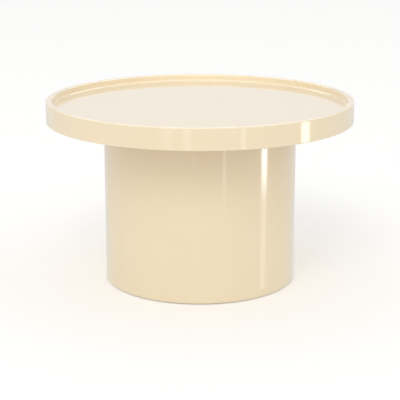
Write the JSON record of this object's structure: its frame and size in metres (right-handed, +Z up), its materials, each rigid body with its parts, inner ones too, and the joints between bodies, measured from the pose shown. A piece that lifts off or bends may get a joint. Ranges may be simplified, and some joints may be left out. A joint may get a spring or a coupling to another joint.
{
  "type": "round cocktail table",
  "caption": "Round cocktail table in gloss cream lacquer: a tray top with a raised flat rim on a plain drum pedestal with hidden levelling feet.",
  "frame": {"origin": "on the floor, under the centre of the table", "axes": "+Z up along the drum's axis; -Y is the side that faces the camera in the picture"},
  "size_m": [0.6599, 0.66, 0.398],
  "materials": {
    "cream_lacquer": "high-gloss cream lacquer on medium-density fibreboard",
    "raw_mdf": "medium-density fibreboard, sanded and sealed but not lacquered",
    "softwood": "planed softwood, unfinished",
    "bending_plywood": "bending plywood, unfinished",
    "zinc_steel": "bright zinc-plated steel",
    "insert_metal": "zinc-plated insert nut",
    "black_nylon": "moulded black nylon"
  },
  "bodies": {
    "table": {"rim_band": "cream_lacquer", "top_panel": "cream_lacquer", "drum_skin_outer": "cream_lacquer", "build_up_ring": "raw_mdf", "former_ring_top": "raw_mdf", "former_ring_middle": "raw_mdf", "former_ring_bottom": "raw_mdf", "stud_1": "softwood", "stud_2": "softwood", "stud_3": "softwood", "stud_4": "softwood", "stud_5": "softwood", "stud_6": "softwood", "stud_7": "softwood", "stud_8": "softwood", "drum_skin_inner": "bending_plywood", "top_bolts": "zinc_steel", "top_washers": "zinc_steel", "top_inserts": "insert_metal", "foot_inserts": "insert_metal"},
    "pad_1": {"foot_pad_1": "black_nylon"},
    "stem_1": {"foot_stem_1": "zinc_steel"},
    "pad_2": {"foot_pad_2": "black_nylon"},
    "stem_2": {"foot_stem_2": "zinc_steel"},
    "pad_3": {"foot_pad_3": "black_nylon"},
    "stem_3": {"foot_stem_3": "zinc_steel"},
    "pad_4": {"foot_pad_4": "black_nylon"},
    "stem_4": {"foot_stem_4": "zinc_steel"}
  },
  "joints": [
    {"name": "foot_travel_1", "type": "slide", "parent": "table", "child": "pad_1", "axis": [0, 0, -1], "range_m": [-0.003, 0.012]},
    {"name": "foot_turn_1", "type": "hinge", "parent": "pad_1", "child": "stem_1", "pos_m": [0.11971, 0.11971, 0.02], "axis": [0, 0, -1], "range_deg": [-864, 3456]},
    {"name": "foot_travel_2", "type": "slide", "parent": "table", "child": "pad_2", "axis": [0, 0, -1], "range_m": [-0.003, 0.012]},
    {"name": "foot_turn_2", "type": "hinge", "parent": "pad_2", "child": "stem_2", "pos_m": [-0.11971, 0.11971, 0.02], "axis": [0, 0, -1], "range_deg": [-864, 3456]},
    {"name": "foot_travel_3", "type": "slide", "parent": "table", "child": "pad_3", "axis": [0, 0, -1], "range_m": [-0.003, 0.012]},
    {"name": "foot_turn_3", "type": "hinge", "parent": "pad_3", "child": "stem_3", "pos_m": [-0.11971, -0.11971, 0.02], "axis": [0, 0, -1], "range_deg": [-864, 3456]},
    {"name": "foot_travel_4", "type": "slide", "parent": "table", "child": "pad_4", "axis": [0, 0, -1], "range_m": [-0.003, 0.012]},
    {"name": "foot_turn_4", "type": "hinge", "parent": "pad_4", "child": "stem_4", "pos_m": [0.11971, -0.11971, 0.02], "axis": [0, 0, -1], "range_deg": [-864, 3456]}
  ],
  "couplings": [
    {"joint": "foot_turn_1", "follows": "foot_travel_1", "rad_per_m": 5026.5},
    {"joint": "foot_turn_2", "follows": "foot_travel_2", "rad_per_m": 5026.5},
    {"joint": "foot_turn_3", "follows": "foot_travel_3", "rad_per_m": 5026.5},
    {"joint": "foot_turn_4", "follows": "foot_travel_4", "rad_per_m": 5026.5}
  ]
}
